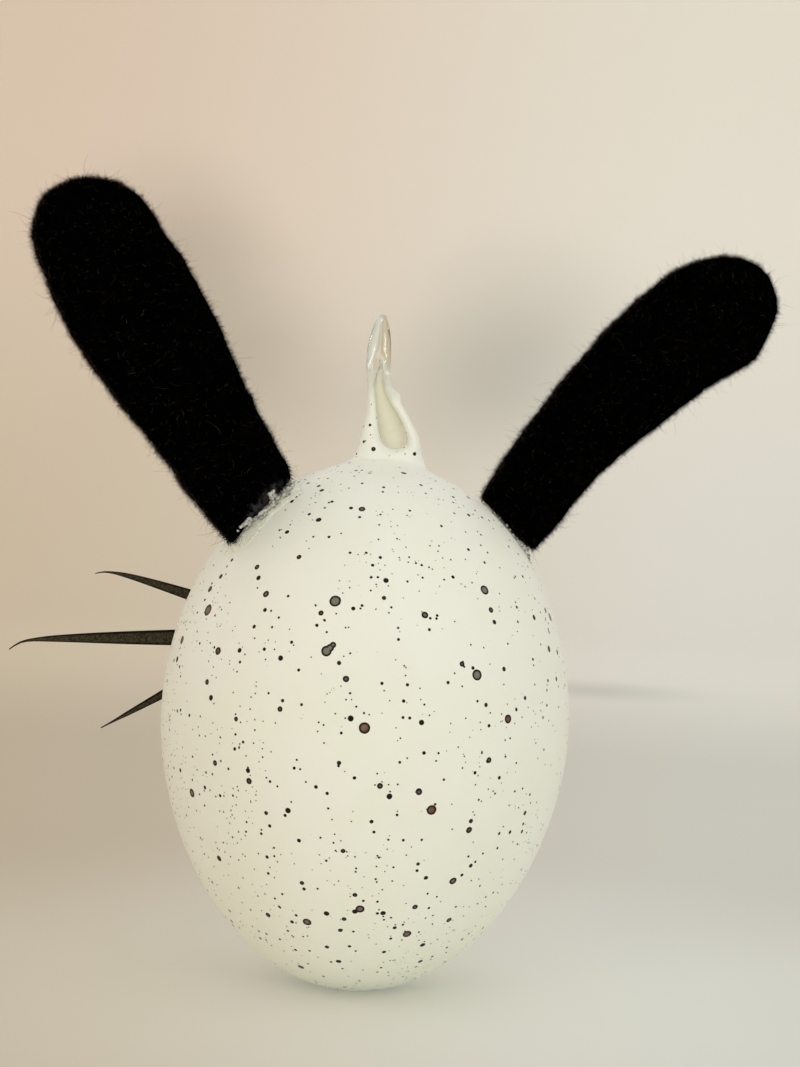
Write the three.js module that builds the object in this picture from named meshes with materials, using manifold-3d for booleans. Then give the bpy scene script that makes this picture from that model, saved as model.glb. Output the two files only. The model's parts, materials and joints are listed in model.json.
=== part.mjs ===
// A glass Easter egg ornament dressed as a rabbit: a blown egg with a hanging loop, two felt ears
// set in hot glue, and three strips of black card that cross on the face as whiskers.
// Millimetres, +Z up. The origin is the centre of the flat spot that the egg rests on, X is the
// right-hand side seen from the back of the rabbit, and the back faces -Y.

import * as THREE from 'three';
import { mergeVertices } from 'three/addons/utils/BufferGeometryUtils.js';
import Module from 'manifold-3d';

const wasm = await Module();
wasm.setup();

// The egg: half an ellipse above the widest plane and a more pointed one below it
const EGG_RADIUS = 30.8;
const ABOVE_WIDEST = 39.6;
const BELOW_WIDEST = 40.4;
const TOP_POWER = 2.05;
const BOTTOM_POWER = 1.82;
const FLAT_CUT = 0.5;
const WIDEST_Z = BELOW_WIDEST - FLAT_CUT;
const EGG_SIDES = 48;
const EGG_RINGS = 15;

// The loop: flattened glass with one long eye, as thin as a strand at the top and a cone at the foot
const LOOP_FOOT_Z = 76.5;
const STRAND_HALF_DEPTH = 0.95;
const FOOT_HALF_DEPTH = 4.6;
const THICKENS_BELOW_Z = 88.5;
const LOOP_BEVEL = 0.45;
const SWELL_POWER = 1.5;

// Felt, glue and card
const FELT_THICKNESS = 2.7;
const FELT_BEVEL = 0.5;
const CARD_THICKNESS = 0.4;
const TIP_HALF_WIDTH = 0.05;
const STRIP_STEPS = 34;
const STRIP_TAPER = 2.2;
const GAP = 0.3;

// Lumps of glue along an ear's base edge: their sizes, and their places as shares of the edge,
// from its outer to its inner corner. They are flatter across the felt than along it.
const LUMP_SIZES = [1.2, 1.5, 1.35, 1.65, 1.45, 1.7, 1.5];
const NEAR_LUMPS_FROM = 0.26;
const NEAR_LUMPS_STEP = 0.12;
const FAR_LUMPS_FROM = 0.2;
const FAR_LUMPS_STEP = 0.13;
const FAR_LUMP_SHARE = 0.9;
const CORNER_LUMPS_AT = 1.06;
const CORNER_LUMP_SIZE = 1.45;
const LUMP_FLATNESS = 0.8;
const LUMP_SINK = 0.5;
const LUMP_REACH = FELT_THICKNESS / 2 + 0.25;

// The dab of glue on the nose: its reach to the sides, up and out
const DAB_REACH = [5.2, 4.4, 3.5];

// Where the ears and the face are, as turns about the egg's axis from +X
const LEFT_EAR_TURN = 205;
const LEFT_EAR_OFFSET = 2.7;
const RIGHT_EAR_TURN = 17;
const FACE_TURN = 116;
const NOSE_Z = 51;

const coatedGlass = new THREE.MeshStandardMaterial({ color: 0xefeee4, roughness: 0.45, metalness: 0 });
const blackFelt = new THREE.MeshStandardMaterial({ color: 0x0b0a0a, roughness: 1, metalness: 0 });
const hotGlue = new THREE.MeshStandardMaterial({ color: 0xd9d8cd, roughness: 0.35, metalness: 0 });
const blackCard = new THREE.MeshStandardMaterial({ color: 0x2b2924, roughness: 0.85, metalness: 0 });

const radians = THREE.MathUtils.degToRad;

function toSolid(geometry) {
  const bare = geometry.clone();
  bare.deleteAttribute('normal');
  bare.deleteAttribute('uv');
  const merged = mergeVertices(bare, 1e-4);
  return new wasm.Manifold(new wasm.Mesh({
    numProp: 3,
    vertProperties: merged.attributes.position.array,
    triVerts: new Uint32Array(merged.index.array),
  }));
}

function toGeometry(solid) {
  const mesh = solid.getMesh();
  const geometry = new THREE.BufferGeometry();
  geometry.setAttribute('position', new THREE.BufferAttribute(mesh.vertProperties, 3));
  geometry.setIndex(new THREE.BufferAttribute(mesh.triVerts, 1));
  geometry.computeVertexNormals();
  return geometry;
}

// The largest separate body of a solid, without the crumbs that a cut can leave
function largestBody(solid) {
  return solid.decompose().reduce((best, body) => (body.volume() > best.volume() ? body : best));
}

function place(name, geometry, material, parent) {
  const mesh = new THREE.Mesh(geometry, material);
  mesh.name = name;
  parent.add(mesh);
  return mesh;
}

const points = (pairs) => pairs.map(([x, y]) => new THREE.Vector2(x, y));

// The blown body: |height / reach| ^ power + (radius / EGG_RADIUS) ^ 2 = 1, cut flat where it rests
function eggGeometry(grow = 0) {
  const radius = EGG_RADIUS + grow;
  const cutAngle = Math.asin(((BELOW_WIDEST - FLAT_CUT) / BELOW_WIDEST) ** (BOTTOM_POWER / 2));
  const profile = [new THREE.Vector2(0, -grow)];
  for (let ring = 0; ring <= EGG_RINGS; ring += 1) {
    const angle = cutAngle * (1 - ring / EGG_RINGS);
    const drop = (BELOW_WIDEST + grow) * Math.sin(angle) ** (2 / BOTTOM_POWER);
    profile.push(new THREE.Vector2(radius * Math.cos(angle), Math.max(WIDEST_Z - drop, -grow)));
  }
  for (let ring = 1; ring < EGG_RINGS; ring += 1) {
    const angle = Math.PI / 2 * (ring / EGG_RINGS);
    const rise = (ABOVE_WIDEST + grow) * Math.sin(angle) ** (2 / TOP_POWER);
    profile.push(new THREE.Vector2(radius * Math.cos(angle), WIDEST_Z + rise));
  }
  profile.push(new THREE.Vector2(0, WIDEST_Z + ABOVE_WIDEST + grow));
  return new THREE.LatheGeometry(profile, EGG_SIDES).rotateX(Math.PI / 2);
}

// The loop seen from the front. Its glass swells from a strand to a round cone at the foot.
function loopGeometry() {
  const outline = new THREE.Shape();
  outline.moveTo(8.4, LOOP_FOOT_Z);
  outline.splineThru(points([
    [7.3, 79.0], [6.6, 80.6], [6.4, 82.2], [5.2, 84.8], [4.0, 86.7], [3.0, 88.4], [2.9, 89.5], [2.1, 90.3],
    [1.5, 92.2], [1.25, 95.5], [0.85, 99.2], [0.3, 101.3], [-0.5, 101.9], [-1.2, 101.1], [-2.0, 98.5],
    [-2.6, 95.6], [-2.4, 92.4], [-2.1, 89.0], [-2.0, 86.5], [-2.6, 84.5], [-3.2, 81.7], [-3.9, 79.4],
    [-5.0, LOOP_FOOT_Z],
  ]));
  outline.closePath();

  const eye = new THREE.Path();
  eye.moveTo(2.6, 81.5);
  eye.splineThru(points([
    [4.2, 82.5], [4.4, 84.0], [3.3, 86.0], [2.3, 87.5], [1.1, 88.9], [0.4, 90.5], [0.1, 92.3],
    [-0.3, 94.1], [-0.8, 92.4], [-0.9, 90.0], [-0.8, 88.0], [-0.3, 85.4], [0.3, 83.1], [2.6, 81.5],
  ]));
  outline.holes.push(eye);

  const depth = 2 * (STRAND_HALF_DEPTH - LOOP_BEVEL);
  const geometry = new THREE.ExtrudeGeometry(outline, {
    depth, curveSegments: 2, bevelSize: LOOP_BEVEL, bevelThickness: LOOP_BEVEL,
    bevelOffset: -LOOP_BEVEL, bevelSegments: 2,
  });
  geometry.translate(0, 0, -depth / 2).rotateX(Math.PI / 2);

  const position = geometry.attributes.position;
  const swell = FOOT_HALF_DEPTH / STRAND_HALF_DEPTH - 1;
  for (let i = 0; i < position.count; i += 1) {
    const below = Math.max(0, THICKENS_BELOW_Z - position.getZ(i));
    const share = Math.min(1, below / (THICKENS_BELOW_Z - LOOP_FOOT_Z));
    position.setY(i, position.getY(i) * (1 + swell * share ** SWELL_POWER));
  }
  return geometry;
}

// An ear, cut from thick felt. The outline starts at the base's outer corner, runs up the outer
// edge, round the tip and down the inner edge, as distances from the egg's axis and heights.
function earGeometry(outlinePairs, offset, grow = 0) {
  const [first, ...rest] = points(outlinePairs);
  const shape = new THREE.Shape();
  shape.moveTo(first.x, first.y);
  shape.splineThru(rest);
  shape.closePath();
  const depth = FELT_THICKNESS - 2 * FELT_BEVEL + 2 * grow;
  const geometry = new THREE.ExtrudeGeometry(shape, {
    depth, curveSegments: 2, bevelSize: FELT_BEVEL, bevelThickness: FELT_BEVEL,
    bevelOffset: grow - FELT_BEVEL, bevelSegments: 2,
  });
  return geometry.translate(0, 0, -depth / 2 - offset).rotateX(Math.PI / 2);
}

// A run of soft lumps of glue on both faces of an ear's base edge, joined under its inner corner
// and cut back from the felt and the glass. nearSide is +1 or -1, the face that shows.
function earGlueGeometry(outlinePairs, offset, nearSide) {
  const outer = new THREE.Vector2(...outlinePairs[0]);
  const inner = new THREE.Vector2(...outlinePairs[outlinePairs.length - 1]);
  const lumps = [];
  const addLump = (along, side, size) => {
    const centre = outer.clone().lerp(inner, along);
    const lump = new THREE.SphereGeometry(1, 8, 6);
    lump.scale(size, size * LUMP_FLATNESS, size);
    lump.translate(centre.x - LUMP_SINK, offset + side * LUMP_REACH, centre.y - LUMP_SINK);
    lumps.push(toSolid(lump));
  };
  LUMP_SIZES.forEach((size, i) => {
    addLump(NEAR_LUMPS_FROM + NEAR_LUMPS_STEP * i, nearSide, size);
    addLump(FAR_LUMPS_FROM + FAR_LUMPS_STEP * i, -nearSide, size * FAR_LUMP_SHARE);
  });
  for (const side of [-0.45, 0.45]) {
    addLump(CORNER_LUMPS_AT, side, CORNER_LUMP_SIZE);
  }
  const bead = lumps.reduce((joined, lump) => joined.add(lump))
    .subtract(toSolid(eggGeometry(GAP)))
    .subtract(toSolid(earGeometry(outlinePairs, offset, GAP)));
  return toGeometry(largestBody(bead));
}

// A strip of card, pointed at both ends, from its centre line and its width at the crossing
function stripShape(centreLine, width, grow = 0) {
  const curve = new THREE.SplineCurve(points(centreLine));
  const left = [];
  const right = [];
  for (let i = 0; i <= STRIP_STEPS; i += 1) {
    const at = curve.getPointAt(i / STRIP_STEPS);
    const along = curve.getTangentAt(i / STRIP_STEPS);
    const reach = Math.abs(i / STRIP_STEPS * 2 - 1);
    const half = width / 2 * (1 - reach ** STRIP_TAPER) + TIP_HALF_WIDTH + grow;
    left.push(new THREE.Vector2(at.x - along.y * half, at.y + along.x * half));
    right.unshift(new THREE.Vector2(at.x + along.y * half, at.y - along.x * half));
  }
  return new THREE.Shape([...left, ...right]);
}

function stripGeometry(strip, grow = 0) {
  const depth = CARD_THICKNESS + 2 * grow;
  const level = GAP + strip.layer * (CARD_THICKNESS + GAP) - grow;
  const shape = stripShape(strip.centreLine, strip.width, grow);
  return new THREE.ExtrudeGeometry(shape, { depth, bevelEnabled: false }).translate(0, 0, level);
}

// The plane that touches the egg at the nose: x is level and points towards the left ear's side,
// y runs up along the glass and z straight out of it
function noseFrame() {
  const rise = (NOSE_Z - WIDEST_Z) / ABOVE_WIDEST;
  const radius = EGG_RADIUS * Math.sqrt(1 - rise ** TOP_POWER);
  const slope = EGG_RADIUS ** 2 * TOP_POWER * rise ** (TOP_POWER - 1) / (2 * radius * ABOVE_WIDEST);
  const tilt = Math.atan(slope);
  const face = new THREE.Vector3(Math.cos(radians(FACE_TURN)), Math.sin(radians(FACE_TURN)), 0);
  const up = new THREE.Vector3(0, 0, 1);
  const out = face.clone().multiplyScalar(Math.cos(tilt)).addScaledVector(up, Math.sin(tilt));
  const upGlass = up.clone().multiplyScalar(Math.cos(tilt)).addScaledVector(face, -Math.sin(tilt));
  const side = new THREE.Vector3().crossVectors(up, face);
  const nose = face.clone().multiplyScalar(radius).setZ(NOSE_Z);
  return new THREE.Matrix4().makeBasis(side, upGlass, out).setPosition(nose);
}

// The dab of glue that holds the crossing: a low dome with the strips and the glass cut out of it
function whiskerGlueGeometry(strips, frame) {
  const dome = new THREE.SphereGeometry(1, 20, 12).scale(...DAB_REACH);
  let dab = toSolid(dome);
  for (const strip of strips) {
    dab = dab.subtract(toSolid(stripGeometry(strip, GAP)));
  }
  const toNose = frame.clone().invert();
  const glass = eggGeometry(GAP).applyMatrix4(toNose);
  return toGeometry(largestBody(dab.subtract(toSolid(glass))));
}

const LEFT_EAR = [
  [24.2, 66.2], [31.0, 73.5], [36.9, 80.1], [43.0, 86.8], [48.0, 92.8], [52.1, 99.0], [55.6, 106.9],
  [55.8, 111.0], [53.8, 114.8], [48.0, 117.2], [41.9, 115.9], [37.0, 110.9], [30.0, 101.4],
  [23.2, 89.1], [17.0, 79.7], [15.4, 76.4],
];
const RIGHT_EAR = [
  [25.7, 66.9], [28.7, 70.2], [31.8, 74.3], [35.9, 79.2], [44.0, 86.4], [53.8, 93.9], [61.4, 98.8],
  [64.3, 104.6], [64.7, 109.2], [61.6, 113.5], [54.8, 114.6], [47.9, 112.1], [40.5, 106.1],
  [33.7, 98.9], [26.0, 89.0], [19.2, 79.0], [16.9, 74.7],
];

// The two short strips are mirror images. Each rises to one side and falls to the other.
const RISING = [[9.3, 3.3], [18.0, 5.9], [25.3, 7.9], [29.6, 8.9], [32.3, 9.2], [33.9, 8.9]];
const FALLING = [[10.1, -5.3], [20.1, -11.2], [26.1, -14.7], [29.6, -16.7]];
const LEVEL = [[10, -0.9], [20.2, -1.1], [34.8, -1.4], [41.8, -1.7], [44.8, -2.2], [46.6, -3.4]];
const mirrored = (pairs) => pairs.map(([x, y]) => [-x, y]).reverse();
const STRIPS = [
  { name: 'middle_whisker', layer: 0, width: 2.9, centreLine: [...mirrored(LEVEL), [0, -0.6], ...LEVEL] },
  { name: 'upper_whisker', layer: 1, width: 2.2, centreLine: [...mirrored(FALLING), [0, 0.5], ...RISING] },
  { name: 'lower_whisker', layer: 2, width: 2.2, centreLine: [...mirrored(RISING), [0, 0.5], ...FALLING] },
];

const ornament = new THREE.Group();

const egg = toSolid(eggGeometry()).add(toSolid(loopGeometry()));
place('egg', toGeometry(egg), coatedGlass, ornament);

const ears = [
  { side: 'left', outline: LEFT_EAR, turn: LEFT_EAR_TURN, offset: LEFT_EAR_OFFSET, nearSide: 1 },
  { side: 'right', outline: RIGHT_EAR, turn: RIGHT_EAR_TURN, offset: 0, nearSide: -1 },
];
for (const { side, outline, turn, offset, nearSide } of ears) {
  const stand = new THREE.Group();
  stand.rotation.z = radians(turn);
  ornament.add(stand);
  place(`${side}_ear`, earGeometry(outline, offset), blackFelt, stand);
  place(`${side}_ear_glue`, earGlueGeometry(outline, offset, nearSide), hotGlue, stand);
}

const face = new THREE.Group();
const faceFrame = noseFrame();
face.applyMatrix4(faceFrame);
ornament.add(face);
for (const strip of STRIPS) {
  place(strip.name, stripGeometry(strip), blackCard, face);
}
place('whisker_glue', whiskerGlueGeometry(STRIPS, faceFrame), hotGlue, face);

export default ornament;
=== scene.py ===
# %% [markdown]
# # A glass Easter egg dressed as a rabbit
# The real object is a hollow egg of blown glass with a hanging loop pulled out of its top. A satin
# white coat with dark speckles covers it. Somebody made a rabbit of it with two thick felt ears in
# hot glue, and with strips of black card that cross on its face as whiskers. We look at its back.
# The CAD model already fixes every size and place, so this lesson only gives each piece its fine
# shape and its finish. It works in metres, with Z up and the egg standing on the origin.

# %% The frame
import json
from math import asin, cos, pi, radians, sin, sqrt, tau

import bmesh
import bpy
import numpy as np
from mathutils import Matrix, Quaternion, Vector, noise
from mathutils.bvhtree import BVHTree

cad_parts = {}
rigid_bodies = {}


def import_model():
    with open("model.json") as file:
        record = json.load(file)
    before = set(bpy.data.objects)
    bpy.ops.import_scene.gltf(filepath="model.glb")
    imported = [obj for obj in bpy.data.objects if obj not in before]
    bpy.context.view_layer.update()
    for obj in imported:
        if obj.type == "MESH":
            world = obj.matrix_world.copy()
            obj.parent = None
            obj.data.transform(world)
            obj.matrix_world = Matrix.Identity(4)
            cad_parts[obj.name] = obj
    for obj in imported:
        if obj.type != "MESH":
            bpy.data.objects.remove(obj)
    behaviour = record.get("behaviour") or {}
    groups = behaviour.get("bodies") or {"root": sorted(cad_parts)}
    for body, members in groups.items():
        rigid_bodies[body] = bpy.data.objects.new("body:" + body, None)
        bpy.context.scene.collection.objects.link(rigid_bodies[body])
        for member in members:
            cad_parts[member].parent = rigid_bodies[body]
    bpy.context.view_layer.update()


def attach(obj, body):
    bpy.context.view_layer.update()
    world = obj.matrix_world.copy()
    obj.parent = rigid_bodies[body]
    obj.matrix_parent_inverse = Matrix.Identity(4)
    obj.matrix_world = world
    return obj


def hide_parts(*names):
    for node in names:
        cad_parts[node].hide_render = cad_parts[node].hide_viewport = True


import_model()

MM = 0.001

# %% [markdown]
# ## The camera
# A photograph is matched more easily when its camera is worked out before anything is modelled.
# Here the egg's centre is 6.6 pixels a millimetre large, 355 mm away, and seen from 6 degrees
# above. The egg leans in the picture because the camera was held at a slight roll. The camera looks
# through the middle of the frame, so it is turned until the egg's centre falls on its own pixel.

# %% The camera
PICTURE = Vector((800, 1067))
EGG_CENTRE_PIXEL = Vector((365.0, 722.6))
PIXELS_PER_MM = 6.6
CAMERA_DISTANCE = 355 * MM
CAMERA_ELEVATION = radians(6)
CAMERA_ROLL = radians(2.8)
WIDEST_Z = 39.9 * MM
EGG_CENTRE = Vector((0, 0, WIDEST_Z))

aside = (EGG_CENTRE_PIXEL - PICTURE / 2) * Vector((1, -1))
focal_pixels = sqrt((PIXELS_PER_MM * CAMERA_DISTANCE / MM) ** 2 - aside.length_squared)
facing_egg = Matrix.Rotation(pi / 2 - CAMERA_ELEVATION, 3, "X") @ Matrix.Rotation(CAMERA_ROLL, 3, "Z")
egg_in_view = Vector((aside.x, aside.y, -focal_pixels))
camera_turn = facing_egg @ egg_in_view.rotation_difference(Vector((0, 0, -1))).to_matrix()
camera_place = EGG_CENTRE - CAMERA_DISTANCE * (facing_egg @ Vector((0, 0, -1)))

camera_data = bpy.data.cameras.new("camera")
camera_data.sensor_fit = "VERTICAL"
camera_data.lens = focal_pixels / PICTURE.y * camera_data.sensor_height
camera_data.clip_start = 10 * MM
camera_data.clip_end = 20
camera = bpy.data.objects.new("camera", camera_data)
camera.matrix_world = Matrix.Translation(camera_place) @ camera_turn.to_4x4()
bpy.context.scene.collection.objects.link(camera)
bpy.context.scene.camera = camera
print("camera at", [round(side / MM, 1) for side in camera_place], "lens", round(camera_data.lens, 1))

# %% [markdown]
# ## Shader maths as plain expressions
# A procedural material is a formula over the surface, and a formula is easier to read as Python
# than as a web of nodes. This small class stands for one output of a node. Arithmetic on it adds
# the Math nodes, and its one method `node` adds any other node.

# %% A wire between shader nodes
class Wire:
    """One output of a shader node. Arithmetic on it adds Math nodes."""

    def __init__(self, tree, socket=None):
        self.tree = tree
        self.socket = socket

    def node(self, kind, settings, inputs, output=0):
        """Adds a node with these settings and socket values or wires, and gives one output."""
        made = self.tree.nodes.new("ShaderNode" + kind)
        for name, value in settings.items():
            setattr(made, name, value)
        for name, value in inputs.items():
            if isinstance(value, Wire):
                self.tree.links.new(value.socket, made.inputs[name])
            else:
                made.inputs[name].default_value = value
        return Wire(self.tree, made.outputs[output])

    def also(self, output):
        """Another output of the same node."""
        return Wire(self.tree, self.socket.node.outputs[output])

    def maths(self, operation, *values):
        return self.node("Math", {"operation": operation}, dict(enumerate(values)))

    def __add__(self, other):
        return self.maths("ADD", self, other)

    def __sub__(self, other):
        return self.maths("SUBTRACT", self, other)

    def __mul__(self, other):
        return self.maths("MULTIPLY", self, other)

    def __truediv__(self, other):
        return self.maths("DIVIDE", self, other)

    def __pow__(self, other):
        return self.maths("POWER", self, other)

    def __rsub__(self, other):
        return self.maths("SUBTRACT", other, self)

    __radd__ = __add__
    __rmul__ = __mul__

    def least(self, other):
        return self.maths("MINIMUM", self, other)

    def most(self, other):
        return self.maths("MAXIMUM", self, other)

    def step(self, low, high):
        """0 below low, 1 above high, and a smooth rise between. low may be the higher one."""
        ends = {"Value": self, "From Min": low, "From Max": high}
        return self.node("MapRange", {"interpolation_type": "SMOOTHSTEP"}, ends)

    def blend(self, first, second):
        """The first colour where this value is 0 and the second where it is 1."""
        colours = {0: self, 6: first, 7: second}
        return self.node("Mix", {"data_type": "RGBA"}, colours, 2)

    def vector(self, operation, other, output=0):
        return self.node("VectorMath", {"operation": operation}, {0: self, 1: other}, output)

    def grown(self, scale):
        """This vector, multiplied by a number."""
        return self.node("VectorMath", {"operation": "SCALE"}, {0: self, "Scale": scale})

    def grain(self, scale, detail=2.0, roughness=0.5):
        """Noise over this place, about 0.5 on average. Scale is in lumps per unit."""
        texture = {"Vector": self, "Scale": scale, "Detail": detail, "Roughness": roughness}
        return self.node("TexNoise", {}, texture)


# %% [markdown]
# Every finish below starts alike: a material with one Principled shader, and the place on the piece
# in millimetres. Object coordinates are used, so a pattern has the object's real scale and stays
# where it is when the object moves.

# %% The start of a finish
def begin_finish(name):
    """A new material, its shader node and the place on the piece in millimetres."""
    material = bpy.data.materials.new(name)
    material.use_nodes = True
    tree = material.node_tree
    shader = tree.nodes["Principled BSDF"]
    place = Wire(tree).node("TexCoord", {}, {}, "Object").grown(1 / MM)
    return material, shader, place


def set_sockets(shader, values):
    """Sets a shader's sockets to values, or links wires to them."""
    for name, value in values.items():
        if isinstance(value, Wire):
            value.tree.links.new(value.socket, shader.inputs[name])
        else:
            shader.inputs[name].default_value = value


def bump(height, distance, strength=1.0):
    """A normal that follows a height. Distance is in millimetres."""
    relief = {"Height": height, "Distance": distance * MM, "Strength": strength}
    return height.node("Bump", {}, relief)


# %% [markdown]
# ## From a mesh to a piece
# Each piece below is shaped as a bmesh, made into an object, and then handed to the frame: it rides on the
# body of the CAD model, gets its material, and stands for its CAD node.

# %% Making and dressing a piece
def make_object(name, bm):
    """An object from a bmesh, with its doubles merged and its faces smooth and outwards."""
    bmesh.ops.remove_doubles(bm, verts=bm.verts, dist=1e-4 * MM)
    bmesh.ops.recalc_face_normals(bm, faces=bm.faces)
    for face in bm.faces:
        face.smooth = True
    mesh = bpy.data.meshes.new(name)
    bm.to_mesh(mesh)
    bm.free()
    piece = bpy.data.objects.new(name, mesh)
    bpy.context.scene.collection.objects.link(piece)
    return piece


def add_modifier(piece, kind, **settings):
    """Adds a modifier and applies it at once, so that what follows can work on its mesh."""
    modifier = piece.modifiers.new(kind.lower(), kind)
    for name, value in settings.items():
        setattr(modifier, name, value)
    bpy.context.view_layer.update()
    graph = bpy.context.evaluated_depsgraph_get()
    finished = bpy.data.meshes.new_from_object(piece.evaluated_get(graph))
    piece.modifiers.clear()
    piece.data = finished
    for polygon in piece.data.polygons:
        polygon.use_smooth = True


def swell(piece, height):
    """Moves each vertex along its normal by the height that the function gives for its place."""
    normals = [vertex.normal.copy() for vertex in piece.data.vertices]
    for vertex, normal in zip(piece.data.vertices, normals):
        vertex.co += normal * height(vertex.co)


def dress(piece, material, slot, *nodes):
    """Gives a finished piece its material, its body and the CAD nodes that it stands for. Its slot is not
    used.
    """
    piece.data.materials.clear()
    piece.data.materials.append(material)
    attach(piece, "root")
    if nodes:
        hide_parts(*nodes)
    triangles = sum(len(polygon.vertices) - 2 for polygon in piece.data.polygons)
    print(f"{piece.name}: {triangles} triangles")


# %% [markdown]
# ## The egg and its loop
# Glass blowers turn the egg's body, so every level section of it is a circle. It could be a lathed
# profile, but the loop was pulled out of the same glass, and the two must flow into each other. So
# the whole piece is a stack of rings, each extruded from the one below: circles on the body, and
# flattened rings that narrow to the tip of the loop. Subdivision then rounds it all.

# %% The egg's surface as a formula
EGG_RADIUS = 30.8 * MM
ABOVE_WIDEST = 39.6 * MM
BELOW_WIDEST = 40.4 * MM
TOP_POWER = 2.05
BOTTOM_POWER = 1.82


def egg_level(point):
    """1 on the egg's surface, less inside it and more outside."""
    rise = point.z - WIDEST_Z
    share = (rise / ABOVE_WIDEST) ** TOP_POWER if rise > 0 else (-rise / BELOW_WIDEST) ** BOTTOM_POWER
    return share + point.xy.length_squared / EGG_RADIUS ** 2


def onto_egg(point):
    """The point on the egg's surface in the same direction from its centre."""
    arm = point - EGG_CENTRE
    for turn in range(4):
        arm /= sqrt(egg_level(EGG_CENTRE + arm))
    return EGG_CENTRE + arm


# %% Rings of the body
COLUMNS = 32
BODY_RINGS = 22
TOP_RING_RADIUS = 10.6 * MM
flat_angle = asin((WIDEST_Z / BELOW_WIDEST) ** (BOTTOM_POWER / 2))
FLAT_RADIUS = EGG_RADIUS * cos(flat_angle)
FLAT_CORE_SHARE = 0.93

body = bmesh.new()
column = body.verts.layers.int.new("column")
row = body.verts.layers.int.new("row")
flat_core = FLAT_RADIUS * FLAT_CORE_SHARE
start = bmesh.ops.create_circle(body, cap_ends=True, segments=COLUMNS, radius=flat_core)
for vertex in start["verts"]:
    vertex[column] = round(Vector((1, 0)).angle_signed(-vertex.co.xy) / tau * COLUMNS) % COLUMNS
rings = [[edge for edge in body.edges]]


def add_ring(place):
    """Extrudes the last ring and puts each new vertex where place says for its column."""
    made = bmesh.ops.extrude_edge_only(body, edges=rings[-1])["geom"]
    for vertex in (part for part in made if isinstance(part, bmesh.types.BMVert)):
        vertex[row] = len(rings)
        vertex.co = place(vertex[column])
    rings.append([part for part in made if isinstance(part, bmesh.types.BMEdge)])


def around(index, across, deep, middle=0.0):
    """A place on a level ellipse, for a column's number."""
    turn = tau * index / COLUMNS
    return Vector((middle + across * cos(turn), deep * sin(turn), 0))


top_angle = pi / 2 - asin(TOP_RING_RADIUS / EGG_RADIUS)
for ring in range(BODY_RINGS + 1):
    angle = -flat_angle + (flat_angle + top_angle) * ring / BODY_RINGS
    level = abs(sin(angle))
    if angle > 0:
        rise = ABOVE_WIDEST * level ** (2 / TOP_POWER)
    else:
        rise = -BELOW_WIDEST * level ** (2 / BOTTOM_POWER)
    radius = EGG_RADIUS * cos(angle)
    add_ring(lambda index: around(index, radius, radius) + Vector((0, 0, WIDEST_Z + rise)))
print("body:", len(rings), "rings of", COLUMNS, "columns")

# %% [markdown]
# The loop's rings follow its outline: at each height, the outer edges of its two strands and of the
# eye between them. The glass is a deep cone at the foot and a thin strand higher up. The foot flares
# out over two rings that lie on the egg, which makes the soft fillet where hot glass met glass.

# %% Rings of the loop
EYE_LEFT_COLUMN = 20
EYE_RIGHT_COLUMN = 28
STRAND_STEPS = 4
STRAND_HALF_DEPTH = 0.95 * MM
FOOT_HALF_DEPTH = 4.6 * MM
FOOT_Z = 76.5 * MM
THICKENS_BELOW_Z = 88.5 * MM
RIM_TURN = radians(144)
FOOT_MIDDLE = 1.55 * MM

# half width, half depth and lift off the egg, in millimetres
FOOT_RINGS = [(8.1, 7.0, 0.0), (6.6, 5.1, 0.08), (5.85, 4.0, 0.45)]
# height, left edge, eye's left edge, eye's right edge, right edge, in millimetres
LOOP_ROWS = [
    (79.9, -3.9, 0.9, 4.1, 7.0),
    (80.9, -3.45, 0.9, 4.2, 6.6),
    (82.0, -3.2, 0.85, 4.35, 6.45),
    (83.2, -2.95, 0.25, 4.3, 6.25),
    (85.0, -2.55, -0.15, 3.6, 5.25),
    (86.8, -2.0, -0.5, 2.6, 4.2),
    (88.4, -2.05, -0.75, 1.35, 3.1),
    (89.1, -2.1, -0.85, 0.95, 3.0),
    (89.9, -2.15, -0.9, 0.5, 3.05),
    (90.35, -2.2, -0.95, 0.35, 1.9),
    (90.9, -2.25, -0.95, 0.25, 1.75),
    (92.0, -2.35, -0.8, 0.05, 1.5),
    (93.5, -2.5, -0.45, -0.1, 1.3),
    (95.3, -2.6, -0.5, 0.0, 1.27),
    (97.3, -2.35, -0.6, 0.1, 1.2),
    (99.2, -1.9, -0.7, 0.0, 0.9),
    (100.8, -1.4, -0.7, -0.1, 0.55),
    (101.75, -0.85, -0.5, -0.2, 0.15),
]
FIRST_OPEN_ROW = 2
LAST_OPEN_ROW = 12
EYE_BOTTOM_DIP = 0.8 * MM
EYE_TOP_RISE = 0.8 * MM


def glass_half_depth(z):
    share = min(1, max(0, THICKENS_BELOW_Z - z) / (THICKENS_BELOW_Z - FOOT_Z))
    return STRAND_HALF_DEPTH + (FOOT_HALF_DEPTH - STRAND_HALF_DEPTH) * share ** 1.5


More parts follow.
